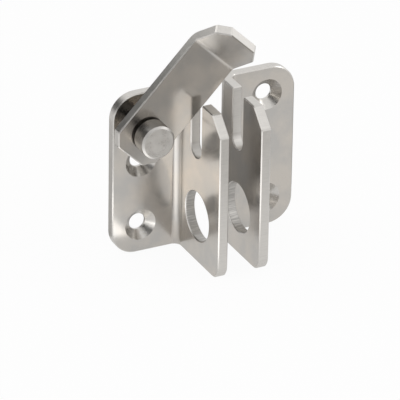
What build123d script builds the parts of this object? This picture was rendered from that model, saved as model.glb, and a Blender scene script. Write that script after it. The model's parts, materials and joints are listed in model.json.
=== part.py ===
"""Flip-over gate latch of folded stainless sheet: two L brackets, and an arm that drops into both."""
import os

from math import cos, radians, sin, sqrt, tan

from build123d import *

# Frame: X runs along the gate, +Y goes into it and +Z is up. Y = 0 is the gate's face, and the
# origin lies there midway between the latch bracket's two screws.

# Sheet that both brackets and the arm are cut from
sheet = 3.0
bend_radius = 2.0
edge_break = 0.3

# Brackets: a plate on the gate, and a flange folded out from it beside the gap
bracket_height = 50.0
plate_width = 23.6
flange_reach = 28.9
flange_gap = 9.9
plate_corner_radius = 7.5
flange_chamfer = 5.2
flange_corner_radius = 4.0

# Countersunk screw holes in the plates
screw_hole_diameter = 5.0
countersink_diameter = 9.5
countersink_angle = 90.0
screw_from_outer_edge = 8.8
screw_from_end = 8.5
latch_screw_spacing = 20.0

# Padlock holes in the flanges
padlock_diameter = 14.7
padlock_from_gate = 15.1
padlock_from_bottom = 14.3

# Slots that the arm drops into
slot_width = 6.5
slot_depth = 17.6
slot_rear_clearance = 0.4
slot_floor_clearance = 0.3

# Arm: a strap on the rivet, with its tip folded out as a finger tab
arm_width = 16.6
arm_spacing = 8.0
arm_heel = 8.2
arm_reach = 28.6
arm_corner = 3.2
tab_length = 10.5
tab_angle = 45.0
rest_angle = 46.0

# Pivot: a headed rivet, and the bush on it that holds the arm off the plate
pivot_from_flange = 14.7
shank_diameter = 4.4
shank_clearance = 0.05
end_play = 0.1
head_diameter = 10.0
head_standoff = 0.9
head_height = 6.3
head_edge = 0.6
bush_diameter = 6.4
peen_diameter = 6.2
peen_angle = 90.0

# Places worked out from the sizes
bottom = -screw_from_end - latch_screw_spacing / 2
top = bottom + bracket_height
plate_front = -sheet
latch_outer = -screw_from_outer_edge
latch_face = latch_outer + plate_width
keeper_face = latch_face + flange_gap
keeper_outer = keeper_face + plate_width
keeper_screw_x = keeper_outer - screw_from_outer_edge
arm_back = plate_front - arm_spacing
arm_front = arm_back - sheet
slot_radius = slot_width / 2
slot_floor = top - slot_depth
slot_middle = arm_back + slot_rear_clearance - slot_radius
arm_edge_in_slot = max(abs(arm_back - slot_middle), abs(arm_front - slot_middle))
arm_seat = slot_floor + slot_radius - sqrt(slot_radius**2 - arm_edge_in_slot**2)
pivot_x = latch_face - sheet - pivot_from_flange
pivot_z = arm_seat + slot_floor_clearance + arm_width / 2
pivot_hole_radius = shank_diameter / 2 + shank_clearance
peen_depth = (peen_diameter - shank_diameter) / 2 / tan(radians(peen_angle / 2))


def bracket_plan(gap_face, outer_edge):
    """Plan of a bracket with its bend, from the flange's face at the gap to the plate's outer edge."""
    side = 1 if outer_edge > gap_face else -1
    inner_face = gap_face + side * sheet
    with BuildSketch(Plane.XY.offset(bottom)) as plan:
        with BuildLine():
            Polyline(
                (gap_face, 0),
                (outer_edge, 0),
                (outer_edge, plate_front),
                (inner_face, plate_front),
                (inner_face, -flange_reach),
                (gap_face, -flange_reach),
                close=True,
            )
        make_face()
        fillet(plan.vertices().sort_by_distance((inner_face, plate_front, bottom))[0], bend_radius)
        fillet(plan.vertices().sort_by_distance((gap_face, 0, bottom))[0], bend_radius + sheet)
    return plan.sketch


def flange_openings():
    """Slot and padlock hole of a flange, seen along X."""
    with BuildSketch(Plane.YZ) as openings:
        with Locations((slot_middle, slot_floor + slot_radius)):
            Circle(slot_radius)
            Rectangle(slot_width, slot_depth, align=(Align.CENTER, Align.MIN))
        with Locations((-padlock_from_gate, bottom + padlock_from_bottom)):
            Circle(padlock_diameter / 2)
    return openings.sketch


def flange_front_edges(bracket):
    """Edges across the sheet at the flange's front, bottom one first."""
    return bracket.edges().filter_by(Axis.X).group_by(Axis.Y)[0].sort_by(Axis.Z)


def on_plate_front(x, z):
    """Plane on the plate's front face, looking out from the gate."""
    return Plane(origin=(x, plate_front, z), x_dir=(1, 0, 0), z_dir=(0, -1, 0))


def on_plate_back(x, z):
    """Plane on the plate's back face, looking into the gate."""
    return Plane(origin=(x, 0, z), x_dir=(1, 0, 0), z_dir=(0, 1, 0))


def short_edges(face):
    """The two edges of an end face that run through the sheet."""
    return face.edges().sort_by(SortBy.LENGTH)[:2]


def shape_bracket(bracket, gap_face, outer_edge):
    """Fold a bracket in the open builder, round its corners, cut its flange and break its edges."""
    extrude(bracket_plan(gap_face, outer_edge), amount=bracket_height)
    outer_end = 0 if outer_edge < gap_face else -1
    fillet(bracket.edges().filter_by(Axis.Y).group_by(Axis.X)[outer_end], plate_corner_radius)
    fillet(flange_front_edges(bracket)[0], flange_corner_radius)
    chamfer(flange_front_edges(bracket)[-1], flange_chamfer)
    extrude(flange_openings(), amount=keeper_outer, both=True, mode=Mode.SUBTRACT)
    chamfer(bracket.edges(), edge_break)


def screw_holes(x, heights):
    """Countersunk holes in the plate at one X."""
    for height in heights:
        with Locations(on_plate_front(x, height)):
            CounterSinkHole(
                screw_hole_diameter / 2, countersink_diameter / 2, sheet, countersink_angle
            )


with BuildPart() as latch_bracket:
    shape_bracket(latch_bracket, latch_face, latch_outer)
    screw_holes(0, (-latch_screw_spacing / 2, latch_screw_spacing / 2))
    with Locations(on_plate_back(pivot_x, pivot_z)):
        CounterSinkHole(pivot_hole_radius, peen_diameter / 2 + shank_clearance, sheet, peen_angle)

with BuildPart() as keeper_bracket:
    shape_bracket(keeper_bracket, keeper_face, keeper_outer)
    screw_holes(keeper_screw_x, (bottom + screw_from_end, top - screw_from_end))

# The arm is drawn edge on, along its own length, with its local Y towards the viewer
arm_side = Plane(
    origin=(pivot_x, 0, pivot_z),
    x_dir=(cos(radians(rest_angle)), 0, sin(radians(rest_angle))),
    z_dir=(sin(radians(rest_angle)), 0, -cos(radians(rest_angle))),
)
along_arm = Axis(arm_side.origin, arm_side.x_dir)
tab_rise = tab_length * sin(radians(tab_angle))
tab_run = tab_length * cos(radians(tab_angle))
fold_back = arm_reach + sheet * tan(radians(tab_angle / 2))
tip_back = arm_reach + tab_run + sheet * sin(radians(tab_angle))

with BuildPart() as latch_arm:
    with BuildSketch(arm_side) as strap:
        with BuildLine():
            Polyline(
                (-arm_heel, -arm_back),
                (fold_back, -arm_back),
                (tip_back, -arm_front + tab_rise - sheet * cos(radians(tab_angle))),
                (arm_reach + tab_run, -arm_front + tab_rise),
                (arm_reach, -arm_front),
                (-arm_heel, -arm_front),
                close=True,
            )
        make_face()
        fillet(strap.vertices().sort_by_distance((arm_reach, -arm_front, 0))[0], bend_radius)
        fillet(strap.vertices().sort_by_distance((fold_back, -arm_back, 0))[0], bend_radius + sheet)
    extrude(amount=arm_width / 2, both=True)
    heel_end = latch_arm.faces().sort_by(along_arm)[0]
    tip_end = latch_arm.faces().sort_by(along_arm)[-1]
    chamfer(short_edges(heel_end) + short_edges(tip_end), arm_corner)
    chamfer(latch_arm.edges(), edge_break)
    with BuildSketch(on_plate_front(pivot_x, pivot_z)):
        Circle(pivot_hole_radius)
    extrude(amount=arm_spacing + 2 * sheet, mode=Mode.SUBTRACT)

with BuildPart() as pivot_rivet:
    with BuildSketch(Plane.XY.offset(pivot_z)):
        with BuildLine():
            Polyline(
                (pivot_x, 0),
                (pivot_x + peen_diameter / 2, 0),
                (pivot_x + shank_diameter / 2, -peen_depth),
                (pivot_x + shank_diameter / 2, arm_front - head_standoff),
                (pivot_x + head_diameter / 2, arm_front - head_standoff),
                (pivot_x + head_diameter / 2, arm_front - head_height),
                (pivot_x, arm_front - head_height),
                close=True,
            )
        make_face()
    revolve(axis=Axis((pivot_x, 0, pivot_z), (0, 1, 0)))
    chamfer(pivot_rivet.edges().group_by(Axis.Y)[0], head_edge)

with BuildPart() as spacer_bush:
    with BuildSketch(on_plate_front(pivot_x, pivot_z)):
        Circle(bush_diameter / 2)
        Circle(pivot_hole_radius, mode=Mode.SUBTRACT)
    extrude(amount=arm_spacing - end_play)

os.makedirs("parts", exist_ok=True)
pieces = {
    "latch_bracket": latch_bracket,
    "keeper_bracket": keeper_bracket,
    "latch_arm": latch_arm,
    "pivot_rivet": pivot_rivet,
    "spacer_bush": spacer_bush,
}
for name, piece in pieces.items():
    piece.part.label = name
    export_step(piece.part, f"parts/{name}.step")
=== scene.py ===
"""Looks and studio for a flip-over gate latch: satin sheet, cut edges, turned pivot, floor and camera."""
import json
import math
from functools import partial
from typing import NamedTuple

import bpy
from mathutils import Matrix, Vector


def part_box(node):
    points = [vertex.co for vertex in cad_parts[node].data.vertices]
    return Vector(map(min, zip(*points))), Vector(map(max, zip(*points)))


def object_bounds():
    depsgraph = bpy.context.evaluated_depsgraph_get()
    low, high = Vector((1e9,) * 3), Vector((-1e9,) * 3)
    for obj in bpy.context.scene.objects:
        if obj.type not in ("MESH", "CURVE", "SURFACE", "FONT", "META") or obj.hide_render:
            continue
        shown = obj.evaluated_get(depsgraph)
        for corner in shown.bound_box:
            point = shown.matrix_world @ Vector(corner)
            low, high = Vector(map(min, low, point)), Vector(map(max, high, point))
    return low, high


bl_info = {
    "name": "Gate latch looks",
    "version": (1, 0, 0),
    "blender": (4, 5, 0),
    "location": "3D View > Sidebar > Gate Latch",
    "description": "Finishes the sheet, the cut edges and the pivot of a gate latch, and sets up its studio",
    "category": "Object",
}

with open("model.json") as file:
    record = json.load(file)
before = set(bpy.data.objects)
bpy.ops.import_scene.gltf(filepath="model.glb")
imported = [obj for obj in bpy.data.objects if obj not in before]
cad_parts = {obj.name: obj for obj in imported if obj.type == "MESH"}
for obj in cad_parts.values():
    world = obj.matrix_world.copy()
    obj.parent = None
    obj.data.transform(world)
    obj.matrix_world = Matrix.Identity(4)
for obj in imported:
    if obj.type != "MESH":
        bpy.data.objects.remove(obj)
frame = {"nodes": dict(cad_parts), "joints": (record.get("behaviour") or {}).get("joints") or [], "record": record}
CAD_LOW, CAD_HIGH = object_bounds()
MM = 0.001

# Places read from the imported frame, in metres: the flanges' faces at the gap, the pivot, the padlock eye
GAP_FACES = {
    "latch_bracket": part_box("latch_bracket")[1].x,
    "keeper_bracket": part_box("keeper_bracket")[0].x,
}
SWING = next(joint for joint in frame["joints"] if joint["name"] == "arm_swing")
PIVOT = Vector(SWING["pos_m"])
ARM_REST = math.radians(-SWING["range_deg"][0])
EYE = next(mount for mount in frame["record"]["mounts"] if mount["name"] == "padlock_eye")
EYE_CENTRE = Vector(EYE["pos_m"])
EYE_RADIUS = EYE["dims"]["r_mm"] * MM

# Sheet that the brackets and the arm are folded from, and how far its bends and rims reach
SHEET = 3.0 * MM
FACE_MARGIN = 0.09 * MM
BEND_REACH = 5.2 * MM
BEND_CORE = 3.8 * MM
RIM_WIDTH = 0.15 * MM

# Start and end of the ramps on a part of the surface's direction, which tell the sheet's regions apart
SQUARE_ON = (0.9, 0.97)
EDGE_ON = (0.3, 0.1)
SINK_STEEPEST = (0.6, 0.65)
SINK_FLATTEST = (0.8, 0.75)
STRAP_AND_TAB = (0.55, 0.68)
TAB_END = (-0.35, -0.15)

# Marks on the sheet: sizes, slant in radians, shades, and the noise levels between which they fade in
MEAN_NOISE = 0.5
GRAIN_STRETCH = 60
WAVE_SIZE = (11 * MM, 11 * MM, 17 * MM)
WAVE_HEIGHT = 0.06 * MM
WAVE_DETAIL = 1.0
SCRATCH_SIZE = (0.16 * MM, 0.16 * MM, 9 * MM)
SCRATCH_SLANT = 0.7
SCRATCH_FADE = (0.68, 0.76)
CLOUD_FADE = (0.38, 0.64)
CLOUD_DETAIL = 3.0
SHEAR_STRETCH = 18
SHEAR_FADE = (0.3, 0.6)
SHEAR_SHADE = 0.91
# Padlock hole wall: torn streaks, darkened overall with painted shade
TORN_FADE = (0.4, 0.75)
TORN_AND_PAINTED_SHADE = 0.55

# Least and most roughness that the sheet's marks add
GRAIN_ROUGHNESS = (-0.05, 0.05)
CLOUD_ROUGHNESS = (-0.07, 0.09)
SCRATCH_ROUGHNESS = (0.0, 0.08)
BEND_ROUGHNESS = 0.22
SHEAR_ROUGHNESS = (-0.08, 0.1)
SINK_ROUGHNESS = (-0.04, 0.04)

# Turned metal of the rivet and the bush: end faces, bevel, side and marks; the bevel and the side are darkened
# with painted shade
END_FACING = (0.3, 0.6)
BEVEL_FACING = (0.95, 0.85)
BEVEL_PAINTED_SHADE = 0.74
BEVEL_ROUGHNESS = 0.2
SIDE_PAINTED_SHADE = 0.45
STAIN_SIZE = 2.5 * MM
STAIN_DETAIL = 3.0
STAIN_FADE = (0.3, 0.7)
STAIN_SHADE = 0.86
STAIN_ROUGHNESS = (-0.06, 0.06)
RING_HEIGHT = 0.0015 * MM
RING_ROUGHNESS = (-0.06, 0.06)

# Floor and lamps, in metres from the object's origin
FLOOR_GAP = 0.02 * MM
MATT_ROUGHNESS = 0.9
KEY_PLACE = Vector((-0.3, 0.05, 0.5))
KEY_SIZE = 0.8
FILL_PLACE = Vector((0.45, -0.25, 0.25))
FILL_SIZE = 0.3
PANEL_PLACE = (-0.022, -0.068)
PANEL_SIZE = (0.046, 0.11)
UP = Vector((0.0, 0.0, 1.0))

# Painted reflections that show only in the metal: grey mats by their corners in plan, dark backdrops by their
# corners seen from the front
MAT_HEIGHT = 0.5 * MM
# Painted reflection: a grey mat in front, seen only in the metal, so the metal mirrors a darker floor there
FRONT_PAINTED_REFLECTION_MAT = ((0.015, -0.3), (0.14, -0.3), (0.14, -0.141), (0.01, -0.067))
# Painted shadow: a darker grey mat right behind the object, seen only in the metal
BACK_SHADOW_MAT = ((-0.014, 0.006), (0.15, 0.006), (0.15, 0.085), (-0.055, 0.085))
BACK_SHADOW_MAT_SHADE = 0.7
# Painted dark reflections: dark backdrops behind and in front, seen only in the metal
BACK_DARK_REFLECTION = ((-0.4, 0.03), (0.0, 0.03), (0.0, 0.065), (-0.4, 0.4))
BACK_DARK_REFLECTION_DEPTH = 0.1
FRONT_DARK_REFLECTION = ((-0.8, 0.15), (-0.05, 0.15), (-0.05, 0.6), (-0.8, 0.6))
FRONT_DARK_REFLECTION_DEPTH = -0.5

# Picture, as sharp as the photograph
PICTURE_PIXELS = 400
PIXELS_PER_MM = 3.542
CLIP_NEAR = 0.01
CLIP_FAR = 50.0


class SheetFinish(bpy.types.PropertyGroup):
    """Satin stainless sheet: its rolled faces and its cut edges."""

    face_colour: bpy.props.FloatVectorProperty(
        name="Face colour",
        description="Colour of the rolled faces",
        subtype="COLOR",
        size=3,
        min=0,
        max=1,
        default=(0.474, 0.459, 0.437),
    )
    warm_colour: bpy.props.FloatVectorProperty(
        name="Warm tint",
        description="Colour that the rolled faces drift towards in cloudy patches",
        subtype="COLOR",
        size=3,
        min=0,
        max=1,
        default=(0.548, 0.513, 0.47),
    )
    edge_colour: bpy.props.FloatVectorProperty(
        name="Cut colour",
        description="Colour of the sheared edges",
        subtype="COLOR",
        size=3,
        min=0,
        max=1,
        default=(0.62, 0.6, 0.57),
    )
    face_roughness: bpy.props.FloatProperty(
        name="Face roughness",
        description="Mean roughness of the rolled faces",
        subtype="FACTOR",
        min=0,
        max=1,
        default=0.19,
    )
    edge_roughness: bpy.props.FloatProperty(
        name="Cut roughness",
        description="Mean roughness of the sheared edges",
        subtype="FACTOR",
        min=0,
        max=1,
        default=0.36,
    )
    sink_roughness: bpy.props.FloatProperty(
        name="Countersink roughness",
        description="Mean roughness of the turned countersinks",
        subtype="FACTOR",
        min=0,
        max=1,
        default=0.26,
    )
    grain_pitch: bpy.props.FloatProperty(
        name="Grain pitch",
        description="Spacing of the rolling grain",
        subtype="DISTANCE",
        unit="LENGTH",
        min=0.02 * MM,
        default=0.12 * MM,
    )
    grain_depth: bpy.props.FloatProperty(
        name="Grain depth",
        description="Height of the rolling grain",
        subtype="DISTANCE",
        unit="LENGTH",
        min=0,
        default=0.001 * MM,
    )
    smudge_size: bpy.props.FloatProperty(
        name="Smudge size",
        description="Size of the cloudy patches on the rolled faces",
        subtype="DISTANCE",
        unit="LENGTH",
        min=0.5 * MM,
        default=7.5 * MM,
    )
    shear_pitch: bpy.props.FloatProperty(
        name="Shear pitch",
        description="Spacing of the drag lines across the cut edges",
        subtype="DISTANCE",
        unit="LENGTH",
        min=0.02 * MM,
        default=0.22 * MM,
    )
    shear_depth: bpy.props.FloatProperty(
        name="Shear depth",
        description="Height of the drag lines across the cut edges",
        subtype="DISTANCE",
        unit="LENGTH",
        min=0,
        default=0.0045 * MM,
    )


class TurnedFinish(bpy.types.PropertyGroup):
    """Turned stainless of the rivet and its bush."""

    colour: bpy.props.FloatVectorProperty(
        name="Colour",
        description="Colour of the turned metal",
        subtype="COLOR",
        size=3,
        min=0,
        max=1,
        default=(0.7, 0.68, 0.65),
    )
    # The bush's darker colour is painted shade, for its place in the shaded gap between arm and plate
    bush_painted_shade_colour: bpy.props.FloatVectorProperty(
        name="Bush colour",
        description="Colour of the duller bush behind the arm",
        subtype="COLOR",
        size=3,
        min=0,
        max=1,
        default=(0.3, 0.288, 0.27),
    )
    roughness: bpy.props.FloatProperty(
        name="Roughness",
        description="Mean roughness of the turned metal",
        subtype="FACTOR",
        min=0,
        max=1,
        default=0.29,
    )
    ring_pitch: bpy.props.FloatProperty(
        name="Ring pitch",
        description="Spacing of the tool marks",
        subtype="DISTANCE",
        unit="LENGTH",
        min=0.02 * MM,
        default=0.18 * MM,
    )


class StudioSet(bpy.types.PropertyGroup):
    """Floor, lamps, mats and backdrops that show only in the metal as painted reflections, and camera."""

    floor_colour: bpy.props.FloatVectorProperty(
        name="Floor colour",
        description="Colour of the pale floor",
        subtype="COLOR",
        size=3,
        min=0,
        max=1,
        default=(0.92, 0.92, 0.92),
    )
    floor_size: bpy.props.FloatProperty(
        name="Floor size",
        description="Side of the square floor",
        subtype="DISTANCE",
        unit="LENGTH",
        min=0.5,
        default=16.0,
    )
    white_share: bpy.props.FloatProperty(
        name="White share",
        description="How far the floor is lifted to plain white where it is seen, the rest keeps the shadow",
        subtype="FACTOR",
        min=0,
        max=1,
        default=0.94,
    )
    mirrored_share: bpy.props.FloatProperty(
        name="Mirrored white share",
        description="How far the floor is lifted to plain white where the metal mirrors it",
        subtype="FACTOR",
        min=0,
        max=1,
        default=0.75,
    )
    sky_light: bpy.props.FloatProperty(
        name="Sky light",
        description="Strength of the even light from all round",
        min=0,
        default=0.6,
    )
    key_power: bpy.props.FloatProperty(
        name="Key power",
        description="Power of the large lamp above and to the left",
        subtype="POWER",
        unit="POWER",
        min=0,
        default=1.0,
    )
    fill_power: bpy.props.FloatProperty(
        name="Fill power",
        description="Power of the lamp at the right",
        subtype="POWER",
        unit="POWER",
        min=0,
        default=0.6,
    )
    low_brightness: bpy.props.FloatProperty(
        name="Low panel brightness",
        description="Brightness of the panel that lies at the left in front and lights the latch flange",
        min=0,
        default=1.4,
    )
    # Grey of the mats, seen only in the metal: painted reflection, and behind the object painted shadow
    painted_reflection_colour: bpy.props.FloatVectorProperty(
        name="Mat colour",
        description="Colour of the grey floor mats that show only in the metal",
        subtype="COLOR",
        size=3,
        min=0,
        max=1,
        default=(0.56, 0.543, 0.521),
    )
    # Dark of the backdrops, seen only in the metal: painted dark reflection
    painted_dark_reflection_colour: bpy.props.FloatVectorProperty(
        name="Backdrop colour",
        description="Colour of the dark backdrops that show only in the metal",
        subtype="COLOR",
        size=3,
        min=0,
        max=1,
        default=(0.03, 0.029, 0.028),
    )
    camera_azimuth: bpy.props.FloatProperty(
        name="Camera azimuth",
        description="Turn of the camera to the left of the plates' front",
        subtype="ANGLE",
        unit="ROTATION",
        default=math.radians(26.706),
    )
    camera_elevation: bpy.props.FloatProperty(
        name="Camera elevation",
        description="Height of the camera above the horizon",
        subtype="ANGLE",
        unit="ROTATION",
        default=math.radians(27.303),
    )
    camera_roll: bpy.props.FloatProperty(
        name="Camera roll",
        description="Turn of the picture about the line of sight",
        subtype="ANGLE",
        unit="ROTATION",
        default=math.radians(0.951),
    )
    camera_distance: bpy.props.FloatProperty(
        name="Camera distance",
        description="Distance from the camera to the point it looks at",
        subtype="DISTANCE",
        unit="LENGTH",
        min=0.1,
        default=1.4,
    )
    picture_width: bpy.props.FloatProperty(
        name="Picture width",
        description="Width that the picture covers at the object",
        subtype="DISTANCE",
        unit="LENGTH",
        min=0.01,
        default=PICTURE_PIXELS / PIXELS_PER_MM * MM,
    )
    look_at: bpy.props.FloatVectorProperty(
        name="Look at",
        description="Point of the object that the camera is set up around",
        subtype="TRANSLATION",
        unit="LENGTH",
        size=3,
        default=(0.0168, -0.011, 0.0055),
    )
    look_at_pixel: bpy.props.FloatVectorProperty(
        name="Look-at pixel",
        description="Where that point lies in the picture, from its upper left corner",
        size=2,
        default=(206.8, 176.3),
    )


class Parts(NamedTuple):
    """The three parts of a vector in a node tree."""

    x: bpy.types.NodeSocket
    y: bpy.types.NodeSocket
    z: bpy.types.NodeSocket


class Nodes:
    """A node tree, with short ways to add its nodes."""

    # The mix node's colour sockets share their names with its number sockets, so they go by place
    FIRST_COLOUR = 6
    SECOND_COLOUR = 7
    MIXED_COLOUR = 2

    def __init__(self, tree):
        self.tree = tree

    def put(self, socket, value):
        """Link a value that comes from a node, or set a plain one."""
        if isinstance(value, bpy.types.NodeSocket):
            self.tree.links.new(value, socket)
        else:
            socket.default_value = value

    def math(self, operation, *values):
        """A number worked out from one or two numbers."""
        node = self.tree.nodes.new("ShaderNodeMath")
        node.operation = operation
        for socket, value in zip(node.inputs, values):
            self.put(socket, value)
        return node.outputs["Value"]

    def both(self, first, second):
        """Where two shares from 0 to 1 hold at once."""
        return self.math("MULTIPLY", first, second)

    def either(self, first, second):
        """Where one of two shares from 0 to 1 holds, or both."""
        return self.math("MAXIMUM", first, second)

    def distance(self, first, second):
        """The length of two offsets at right angles."""
        squares = self.math("ADD", self.math("POWER", first, 2.0), self.math("POWER", second, 2.0))
        return self.math("SQRT", squares)

    def above(self, value, start, end):
        """0 up to start and 1 from end on, with a straight rise between. Start may be the larger."""
        node = self.tree.nodes.new("ShaderNodeMapRange")
        self.put(node.inputs["Value"], value)
        node.inputs["From Min"].default_value = start
        node.inputs["From Max"].default_value = end
        return node.outputs["Result"]

    def spread(self, value, low, high, middle=0.0):
        """A number from 0 to 1 spread from low to high about a middle."""
        node = self.tree.nodes.new("ShaderNodeMapRange")
        self.put(node.inputs["Value"], value)
        node.inputs["To Min"].default_value = middle + low
        node.inputs["To Max"].default_value = middle + high
        return node.outputs["Result"]

    def mix(self, share, first, second):
        """A blend of two numbers."""
        node = self.tree.nodes.new("ShaderNodeMix")
        self.put(node.inputs["Factor"], share)
        self.put(node.inputs["A"], first)
        self.put(node.inputs["B"], second)
        return node.outputs["Result"]

    def mix_colour(self, share, first, second):
        """A blend of two colours."""
        node = self.tree.nodes.new("ShaderNodeMix")
        node.data_type = "RGBA"
        self.put(node.inputs["Factor"], share)
        for place, colour in ((self.FIRST_COLOUR, first), (self.SECOND_COLOUR, second)):
            opaque = colour if isinstance(colour, bpy.types.NodeSocket) else (*colour, 1.0)
            self.put(node.inputs[place], opaque)
        return node.outputs[self.MIXED_COLOUR]

    def turned_about_y(self, vector, angle, centre=(0.0, 0.0, 0.0)):
        """A vector turned about the Y direction through a point."""
        node = self.tree.nodes.new("ShaderNodeVectorRotate")
        node.rotation_type = "Y_AXIS"
        self.put(node.inputs["Vector"], vector)
        node.inputs["Center"].default_value = centre
        node.inputs["Angle"].default_value = angle
        return node.outputs["Vector"]

    def parts(self, vector):
        """The X, Y and Z of a vector."""
        node = self.tree.nodes.new("ShaderNodeSeparateXYZ")
        self.put(node.inputs["Vector"], vector)
        return Parts(*node.outputs)

    def sizes(self, vector):
        """The X, Y and Z of a vector without their signs."""
        return Parts(*(self.math("ABSOLUTE", part) for part in self.parts(vector)))

    def noise(self, vector, pitch, detail=2.0):
        """Cloudy noise whose features are about one pitch across in each direction, in metres."""
        scaled = self.tree.nodes.new("ShaderNodeVectorMath")
        scaled.operation = "DIVIDE"
        self.put(scaled.inputs[0], vector)
        self.put(scaled.inputs[1], pitch)
        node = self.tree.nodes.new("ShaderNodeTexNoise")
        self.put(node.inputs["Vector"], scaled.outputs["Vector"])
        node.inputs["Scale"].default_value = 1.0
        node.inputs["Detail"].default_value = detail
        return node.outputs["Fac"]

    def bump(self, height, distance, base=None):
        """A surface raised by a height from 0 to 1 times a distance."""
        node = self.tree.nodes.new("ShaderNodeBump")
        node.inputs["Distance"].default_value = distance
        self.put(node.inputs["Height"], height)
        if base is not None:
            self.put(node.inputs["Normal"], base)
        return node.outputs["Normal"]


class Shader(Nodes):
    """A material's node tree, with its surface and the place and direction of a point on it."""

    def __init__(self, name):
        self.material = bpy.data.materials.new(name)
        self.material.use_nodes = True
        super().__init__(self.material.node_tree)
        self.surface = self.tree.nodes["Principled BSDF"]
        coordinates = self.tree.nodes.new("ShaderNodeTexCoord")
        self.place = coordinates.outputs["Object"]
        self.normal = coordinates.outputs["Normal"]


class SheetRegions(NamedTuple):
    """The place on a folded sheet, and its share from 0 to 1 in each region."""

    place: bpy.types.NodeSocket
    face: bpy.types.NodeSocket
    on_plate: bpy.types.NodeSocket | float
    bend: bpy.types.NodeSocket | float = 0.0
    sink: bpy.types.NodeSocket | float = 0.0
    bore: bpy.types.NodeSocket | float = 0.0


def bracket_regions(shader, gap_face):
    """Regions of a bracket: rolled faces, plate, stretched bend, countersinks and padlock hole."""
    at = shader.parts(shader.place)
    facing = shader.sizes(shader.normal)
    from_gap = shader.math("ABSOLUTE", shader.math("SUBTRACT", at.x, gap_face))
    on_plate = shader.math("GREATER_THAN", at.y, -(SHEET + FACE_MARGIN))
    by_flange = shader.math("LESS_THAN", from_gap, BEND_REACH)
    by_bend = shader.both(by_flange, shader.math("GREATER_THAN", at.y, -BEND_REACH))

    plate_face = shader.both(on_plate, shader.above(facing.y, *SQUARE_ON))
    flange_face = shader.both(by_flange, shader.above(facing.x, *SQUARE_ON))
    bend_face = shader.both(by_bend, shader.above(facing.z, *EDGE_ON))
    face = shader.either(bend_face, shader.either(plate_face, flange_face))

    near_gap = shader.above(from_gap, BEND_REACH, BEND_CORE)
    bend = shader.both(near_gap, shader.above(at.y, -BEND_REACH, -BEND_CORE))
    sloped = shader.both(shader.above(facing.y, *SINK_STEEPEST), shader.above(facing.y, *SINK_FLATTEST))
    sink = shader.both(on_plate, sloped)
    eye_y = shader.math("SUBTRACT", at.y, EYE_CENTRE.y)
    eye_z = shader.math("SUBTRACT", at.z, EYE_CENTRE.z)
    bore = shader.math("LESS_THAN", shader.distance(eye_y, eye_z), EYE_RADIUS + RIM_WIDTH)
    return SheetRegions(shader.place, face, on_plate, bend, sink, bore)


def arm_regions(shader):
    """Regions of the arm, which lies flat like a plate, with Z turned along its strap."""
    turn = ARM_REST - math.pi / 2
    place = shader.turned_about_y(shader.place, turn, PIVOT)
    facing = shader.parts(shader.turned_about_y(shader.normal, turn))
    not_long_edge = shader.above(shader.math("ABSOLUTE", facing.x), *EDGE_ON)
    strap_or_tab = shader.above(shader.math("ABSOLUTE", facing.y), *STRAP_AND_TAB)
    not_tab_end = shader.above(shader.math("MULTIPLY", facing.y, facing.z), *TAB_END)
    face = shader.both(not_long_edge, shader.both(strap_or_tab, not_tab_end))
    return SheetRegions(place, face, on_plate=1.0)


def shear_lines(shader, place, pitch, on_plate):
    """Drag lines that run through the sheet, along Y on a plate and along X on a flange."""
    through = SHEAR_STRETCH * pitch
    plate_lines = shader.noise(place, (pitch, through, pitch))
    flange_lines = shader.noise(place, (through, pitch, pitch))
    return shader.mix(on_plate, flange_lines, plate_lines)


def shaded(colour, share):
    """A colour at a share of its brightness."""
    return tuple(share * part for part in colour)


def sheet_metal(name, finish, find_regions):
    """Satin sheet: grained, faintly clouded faces with hairline scratches, and lighter, duller cut edges; the
    padlock hole's wall is torn in streaks and darkened with painted shade.
    """
    shader = Shader(name)
    regions = find_regions(shader)
    place = regions.place
    pitch = finish.grain_pitch
    clouds = shader.noise(place, (finish.smudge_size,) * 3, detail=CLOUD_DETAIL)
    grain = shader.noise(place, (pitch, pitch, GRAIN_STRETCH * pitch))
    waves = shader.noise(place, WAVE_SIZE, detail=WAVE_DETAIL)
    slanted = shader.turned_about_y(place, SCRATCH_SLANT)
    scratches = shader.above(shader.noise(slanted, SCRATCH_SIZE), *SCRATCH_FADE)
    shear = shear_lines(shader, place, finish.shear_pitch, regions.on_plate)

    dragged = shaded(finish.edge_colour, SHEAR_SHADE)
    torn_and_shaded = shaded(finish.edge_colour, TORN_AND_PAINTED_SHADE)
    warm = shader.above(clouds, *CLOUD_FADE)
    face_colour = shader.mix_colour(warm, finish.face_colour, finish.warm_colour)
    edge_colour = shader.mix_colour(shader.above(shear, *SHEAR_FADE), dragged, finish.edge_colour)
    # The padlock hole's wall: torn streaks, darker overall with painted shade
    bore_colour = shader.mix_colour(shader.above(shear, *TORN_FADE), torn_and_shaded, finish.edge_colour)
    cut_colour = shader.mix_colour(regions.bore, edge_colour, bore_colour)
    colour = shader.mix_colour(regions.face, cut_colour, face_colour)
    shader.put(shader.surface.inputs["Base Color"], colour)
    shader.put(shader.surface.inputs["Metallic"], 1.0)

    grained = shader.spread(grain, *GRAIN_ROUGHNESS, middle=finish.face_roughness)
    clouded = shader.math("ADD", grained, shader.spread(clouds, *CLOUD_ROUGHNESS))
    scratched = shader.math("ADD", clouded, shader.spread(scratches, *SCRATCH_ROUGHNESS))
    stretched = shader.math("ADD", scratched, shader.math("MULTIPLY", regions.bend, BEND_ROUGHNESS))
    sheared = shader.spread(shear, *SHEAR_ROUGHNESS, middle=finish.edge_roughness)
    turned = shader.spread(shear, *SINK_ROUGHNESS, middle=finish.sink_roughness)
    cut = shader.mix(regions.sink, sheared, turned)
    shader.put(shader.surface.inputs["Roughness"], shader.mix(regions.face, cut, stretched))

    wavy = shader.bump(waves, WAVE_HEIGHT)
    brushed = shader.bump(grain, finish.grain_depth, wavy)
    scored = shader.bump(shader.mix(regions.face, shear, MEAN_NOISE), finish.shear_depth, brushed)
    shader.put(shader.surface.inputs["Normal"], scored)
    return shader.material


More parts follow.
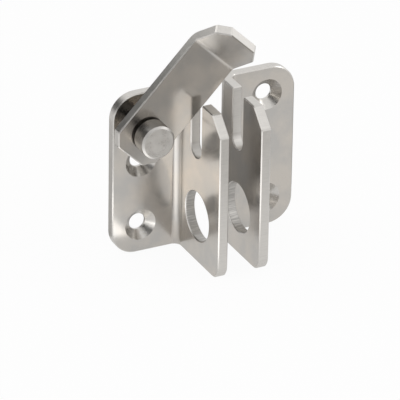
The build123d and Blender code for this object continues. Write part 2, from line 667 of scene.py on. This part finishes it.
def turned_metal(name, finish, metal):
    """Turned steel: rings and faint stains on the ends, a dull bevel darkened with painted shade, and sides
    darkened with painted shade.
    """
    shader = Shader(name)
    at = shader.parts(shader.place)
    off_x = shader.math("SUBTRACT", at.x, PIVOT.x)
    off_z = shader.math("SUBTRACT", at.z, PIVOT.z)
    profile = shader.tree.nodes.new("ShaderNodeCombineXYZ")
    shader.put(profile.inputs["X"], shader.distance(off_x, off_z))
    shader.put(profile.inputs["Y"], at.y)
    rings = shader.noise(profile.outputs["Vector"], (finish.ring_pitch,) * 3)
    stains = shader.noise(shader.place, (STAIN_SIZE,) * 3, detail=STAIN_DETAIL)
    along_pivot = shader.math("ABSOLUTE", shader.parts(shader.normal).y)
    end = shader.above(along_pivot, *END_FACING)
    bevel = shader.both(end, shader.above(along_pivot, *BEVEL_FACING))

    faced = shader.mix_colour(shader.above(stains, *STAIN_FADE), shaded(metal, STAIN_SHADE), metal)
    # The bevel's darker colour is painted shade that tones down its highlight; its extra roughness is real
    # dullness
    bevelled = shader.mix_colour(bevel, faced, shaded(metal, BEVEL_PAINTED_SHADE))
    # The sides' darker colour is painted shade
    colour = shader.mix_colour(end, shaded(metal, SIDE_PAINTED_SHADE), bevelled)
    shader.put(shader.surface.inputs["Base Color"], colour)
    shader.put(shader.surface.inputs["Specular Tint"], (*finish.colour, 1.0))
    shader.put(shader.surface.inputs["Metallic"], 1.0)

    ringed = shader.spread(rings, *RING_ROUGHNESS, middle=finish.roughness)
    stained = shader.math("ADD", ringed, shader.spread(stains, *STAIN_ROUGHNESS))
    worn = shader.math("ADD", stained, shader.math("MULTIPLY", bevel, BEVEL_ROUGHNESS))
    shader.put(shader.surface.inputs["Roughness"], worn)
    shader.put(shader.surface.inputs["Normal"], shader.bump(rings, RING_HEIGHT))
    return shader.material


def dress(node_name, material):
    """Give a CAD node its finish."""
    slots = frame["nodes"][node_name].material_slots
    if not slots:
        raise RuntimeError(f"{node_name} has no material slot")
    for slot in slots:
        slot.link = "OBJECT"
        slot.material = material


class LATCH_OT_brackets(bpy.types.Operator):
    """Finish the two folded brackets in satin sheet with cut edges"""

    bl_idname = "gate_latch.brackets"
    bl_label = "Finish Brackets"

    def execute(self, context):
        finish = context.scene.gate_latch_sheet
        for node_name, gap_face in GAP_FACES.items():
            find_regions = partial(bracket_regions, gap_face=gap_face)
            dress(node_name, sheet_metal(f"{node_name}_satin", finish, find_regions))
        return {"FINISHED"}


class LATCH_OT_arm(bpy.types.Operator):
    """Finish the swinging arm in satin sheet, with its grain along the strap"""

    bl_idname = "gate_latch.arm"
    bl_label = "Finish Arm"

    def execute(self, context):
        finish = context.scene.gate_latch_sheet
        dress("latch_arm", sheet_metal("latch_arm_satin", finish, arm_regions))
        return {"FINISHED"}


class LATCH_OT_pivot(bpy.types.Operator):
    """Finish the rivet and its bush as turned steel"""

    bl_idname = "gate_latch.pivot"
    bl_label = "Finish Pivot"

    def execute(self, context):
        finish = context.scene.gate_latch_turned
        # The bush gets the darker colour: painted shade
        for node_name, metal in (("pivot_rivet", finish.colour), ("spacer_bush", finish.bush_painted_shade_colour)):
            dress(node_name, turned_metal(f"{node_name}_turned", finish, metal))
        return {"FINISHED"}


def seen_and_mirrored(nodes):
    """1 for rays from the camera, and 1 for rays that metal or glass sends on."""
    path = nodes.tree.nodes.new("ShaderNodeLightPath").outputs
    return path["Is Camera Ray"], nodes.either(path["Is Glossy Ray"], path["Is Transmission Ray"])


def stage_sheet(name, corners, material):
    """A flat four-cornered sheet of the stage."""
    mesh = bpy.data.meshes.new(name)
    mesh.from_pydata(corners, [], [(0, 1, 2, 3)])
    mesh.materials.append(material)
    sheet = bpy.data.objects.new(name, mesh)
    bpy.context.scene.collection.objects.link(sheet)
    return sheet


def matt_paint(name, colour):
    """Plain matt paint for the floor, the mats and the backdrops."""
    shader = Shader(name)
    shader.put(shader.surface.inputs["Base Color"], (*colour, 1.0))
    shader.put(shader.surface.inputs["Roughness"], MATT_ROUGHNESS)
    shader.put(shader.surface.inputs["Specular IOR Level"], 0.0)
    return shader


def lay_floor(studio):
    """Pale floor under the object, lifted towards white where it is seen or mirrored."""
    shader = matt_paint("pale_floor", studio.floor_colour)
    white = shader.tree.nodes.new("ShaderNodeEmission")
    lifted = shader.tree.nodes.new("ShaderNodeMixShader")
    seen, mirrored = seen_and_mirrored(shader)
    seen_white = shader.math("MULTIPLY", seen, studio.white_share)
    mirrored_white = shader.math("MULTIPLY", mirrored, studio.mirrored_share)
    white_part, painted, lit = lifted.inputs
    shader.put(white_part, shader.either(seen_white, mirrored_white))
    shader.put(painted, shader.surface.outputs["BSDF"])
    shader.put(lit, white.outputs["Emission"])
    shader.put(shader.tree.nodes["Material Output"].inputs["Surface"], lifted.outputs["Shader"])
    half = studio.floor_size / 2
    height = CAD_LOW.z - FLOOR_GAP
    corners = [(-half, -half, height), (half, -half, height), (half, half, height), (-half, half, height)]
    stage_sheet("studio_floor", corners, shader.material)


def mirrored_sheet(name, corners, colour):
    """A stage sheet hidden from the camera, from diffuse light and from shadows, that shows only as a painted
    reflection in the metal.
    """
    sheet = stage_sheet(name, corners, matt_paint(f"{name}_paint", colour).material)
    sheet.visible_camera = False
    sheet.visible_diffuse = False
    sheet.visible_shadow = False


def lay_painted_reflection_mat(name, corners, colour):
    """A grey mat just above the floor, from its corners in plan, that shows only as a painted reflection in the
    metal.
    """
    level = CAD_LOW.z + MAT_HEIGHT
    mirrored_sheet(name, [(x, y, level) for x, y in corners], colour)


def stand_painted_reflection_backdrop(name, corners, depth, colour):
    """A dark backdrop that stands across the view at one depth, from its corners as seen from the front, and shows
    only as a painted reflection in the metal.
    """
    mirrored_sheet(name, [(x, depth, z) for x, z in corners], colour)


def light_sky(studio):
    """Even light from all round, plain white where it is seen or mirrored."""
    world = bpy.data.worlds.new("studio_sky")
    world.use_nodes = True
    bpy.context.scene.world = world
    nodes = Nodes(world.node_tree)
    sky = nodes.tree.nodes["Background"]
    white = nodes.either(*seen_and_mirrored(nodes))
    nodes.put(sky.inputs["Color"], (1.0, 1.0, 1.0, 1.0))
    nodes.put(sky.inputs["Strength"], nodes.spread(white, studio.sky_light, 1.0))


def hang_lamp(name, place, aim, width, height, power):
    """A soft lamp that shines at a point."""
    light = bpy.data.lights.new(name, "AREA")
    light.shape = "RECTANGLE"
    light.size = width
    light.size_y = height
    light.energy = power
    lamp = bpy.data.objects.new(name, light)
    lamp.location = place
    lamp.rotation_euler = (aim - lamp.location).to_track_quat("-Z", "Y").to_euler()
    lamp.visible_camera = False
    bpy.context.scene.collection.objects.link(lamp)


def light_and_paint_reflections(studio):
    """The low panel lamp, and the mats and backdrops that show only in the metal as painted reflections and give
    the mirroring sheet its light and dark sides.
    """
    panel = Vector((*PANEL_PLACE, CAD_LOW.z + MAT_HEIGHT))
    width, length = PANEL_SIZE
    power = math.pi * width * length * studio.low_brightness
    hang_lamp("low_panel", panel, panel + UP, width, length, power)
    # Painted reflection of a darker floor in front, seen only in the metal
    lay_painted_reflection_mat("front_painted_reflection_mat", FRONT_PAINTED_REFLECTION_MAT, studio.painted_reflection_colour)
    # Painted shadow behind the object, seen only in the metal
    lay_painted_reflection_mat("back_painted_shadow_mat", BACK_SHADOW_MAT, shaded(studio.painted_reflection_colour, BACK_SHADOW_MAT_SHADE))
    # Painted dark reflections, seen only in the metal
    stand_painted_reflection_backdrop("back_painted_reflection_backdrop", BACK_DARK_REFLECTION, BACK_DARK_REFLECTION_DEPTH, studio.painted_dark_reflection_colour)
    stand_painted_reflection_backdrop("front_painted_reflection_backdrop", FRONT_DARK_REFLECTION, FRONT_DARK_REFLECTION_DEPTH, studio.painted_dark_reflection_colour)


def place_camera(studio):
    """Camera at the photograph's angle, moved sideways until the look-at point lies on its pixel."""
    turn, lift, roll = studio.camera_azimuth, studio.camera_elevation, studio.camera_roll
    back = Vector((-math.sin(turn) * math.cos(lift), -math.cos(turn) * math.cos(lift), math.sin(lift)))
    level_right = Vector((math.cos(turn), -math.sin(turn), 0.0))
    level_up = back.cross(level_right)
    right = math.cos(roll) * level_right + math.sin(roll) * level_up
    up = math.cos(roll) * level_up - math.sin(roll) * level_right
    per_pixel = studio.picture_width / PICTURE_PIXELS
    column, row = studio.look_at_pixel
    aim = Vector(studio.look_at)
    aim -= (column - PICTURE_PIXELS / 2) * per_pixel * right
    aim += (row - PICTURE_PIXELS / 2) * per_pixel * up
    lens = bpy.data.cameras.new("photo_camera")
    lens.sensor_fit = "HORIZONTAL"
    lens.lens = lens.sensor_width * studio.camera_distance / studio.picture_width
    lens.clip_start = CLIP_NEAR
    lens.clip_end = CLIP_FAR
    camera = bpy.data.objects.new("photo_camera", lens)
    axes = Matrix((right, up, back)).transposed().to_4x4()
    camera.matrix_world = Matrix.Translation(aim + back * studio.camera_distance) @ axes
    bpy.context.scene.collection.objects.link(camera)
    bpy.context.scene.camera = camera


class LATCH_OT_stage(bpy.types.Operator):
    """Set up the pale floor, the lamps, the painted reflections that only the metal shows, and the camera"""

    bl_idname = "gate_latch.stage"
    bl_label = "Set Up Stage"

    def execute(self, context):
        studio = context.scene.gate_latch_studio
        middle = (CAD_LOW + CAD_HIGH) / 2
        lay_floor(studio)
        light_sky(studio)
        hang_lamp("key_lamp", KEY_PLACE, middle, KEY_SIZE, KEY_SIZE, studio.key_power)
        hang_lamp("fill_lamp", FILL_PLACE, middle, FILL_SIZE, FILL_SIZE, studio.fill_power)
        light_and_paint_reflections(studio)
        place_camera(studio)
        context.scene.view_settings.view_transform = "Standard"
        return {"FINISHED"}


class LATCH_PT_panel(bpy.types.Panel):
    """Gate latch settings and steps in the 3D view's sidebar."""

    bl_idname = "LATCH_PT_panel"
    bl_label = "Gate Latch"
    bl_space_type = "VIEW_3D"
    bl_region_type = "UI"
    bl_category = "Gate Latch"

    def draw(self, context):
        for settings in SETTINGS:
            box = self.layout.box()
            group = getattr(context.scene, settings)
            for setting in group.bl_rna.properties:
                if setting.identifier not in ("rna_type", "name"):
                    box.prop(group, setting.identifier)
        for operator in OPERATORS:
            self.layout.operator(operator.bl_idname)


SETTINGS = {
    "gate_latch_sheet": SheetFinish,
    "gate_latch_turned": TurnedFinish,
    "gate_latch_studio": StudioSet,
}
OPERATORS = (LATCH_OT_brackets, LATCH_OT_arm, LATCH_OT_pivot, LATCH_OT_stage)
CLASSES = (*SETTINGS.values(), *OPERATORS, LATCH_PT_panel)


def register():
    """Add the settings, the operators and the panel to Blender."""
    for cls in CLASSES:
        bpy.utils.register_class(cls)
    for name, group in SETTINGS.items():
        setattr(bpy.types.Scene, name, bpy.props.PointerProperty(type=group))


def unregister():
    """Take the settings, the operators and the panel out of Blender."""
    for name in SETTINGS:
        delattr(bpy.types.Scene, name)
    for cls in reversed(CLASSES):
        bpy.utils.unregister_class(cls)


def main():
    """Build the looks and the stage."""
    register()
    bpy.ops.gate_latch.brackets()
    bpy.ops.gate_latch.arm()
    bpy.ops.gate_latch.pivot()
    bpy.ops.gate_latch.stage()


if __name__ == "__main__":
    main()
